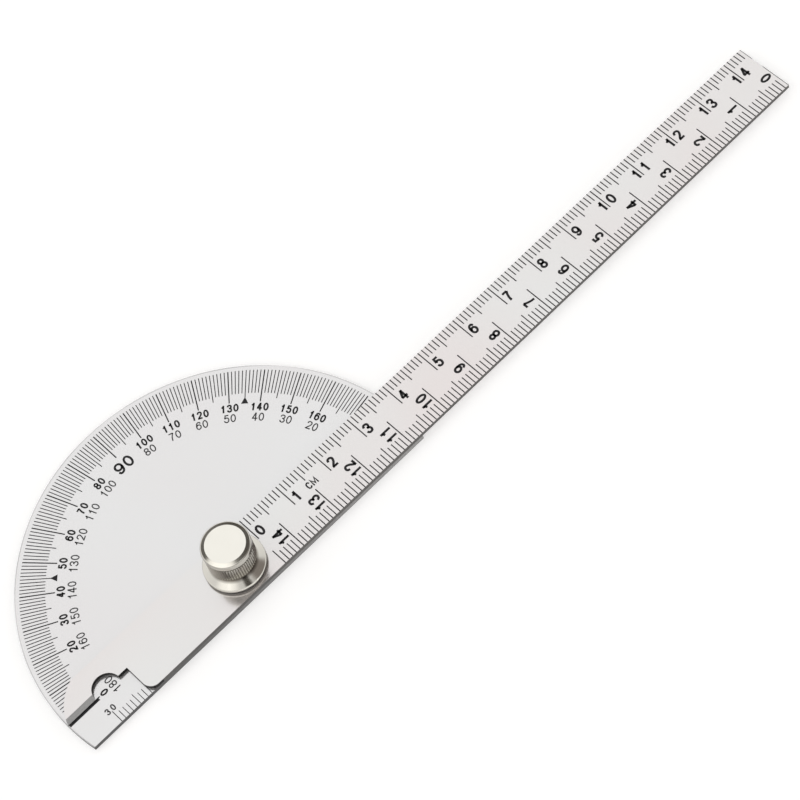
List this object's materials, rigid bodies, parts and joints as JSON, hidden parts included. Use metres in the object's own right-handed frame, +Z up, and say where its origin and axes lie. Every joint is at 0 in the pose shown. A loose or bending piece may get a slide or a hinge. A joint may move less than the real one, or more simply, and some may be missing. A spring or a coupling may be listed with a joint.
{
  "type": "bevel protractor",
  "caption": "Half-disc degree protractor with a pivoting ruler blade, a bevelled index tail with a reading window, and a knurled thumb nut that locks the angle.",
  "frame": {"origin": "on the pivot axis, at the underside of the protractor plate", "axes": "+X along the blade to its tip at rest (0 degrees), +Y to the crown of the half disc, +Z up out of the graduated face towards the thumb nut"},
  "size_m": [0.1975, 0.0528, 0.0116],
  "materials": {
    "plate_steel": "satin stainless sheet with etched black graduations",
    "stud_steel": "turned steel",
    "blade_steel": "satin stainless sheet with etched black graduations",
    "washer_fibre": "matt dark fibre",
    "nut_plating": "polished nickel plate"
  },
  "bodies": {
    "plate": {"protractor_plate": "plate_steel", "pivot_stud": "stud_steel"},
    "blade": {"blade": "blade_steel"},
    "washer": {"friction_washer": "washer_fibre"},
    "nut": {"thumb_nut": "nut_plating"}
  },
  "joints": [
    {"name": "blade_turn", "type": "hinge", "parent": "plate", "child": "blade", "pos_m": [0, 0, 0.00172], "axis": [0, 0, -1], "continuous": true},
    {"name": "nut_rise", "type": "slide", "parent": "plate", "child": "washer", "axis": [0, 0, 1], "range_m": [0, 0.0014]},
    {"name": "nut_turn", "type": "hinge", "parent": "washer", "child": "nut", "pos_m": [0, 0, 0.007], "axis": [0, 0, 1], "range_deg": [0, 720]}
  ],
  "couplings": [
    {"joint": "nut_turn", "follows": "nut_rise", "rad_per_m": 8975.9}
  ]
}
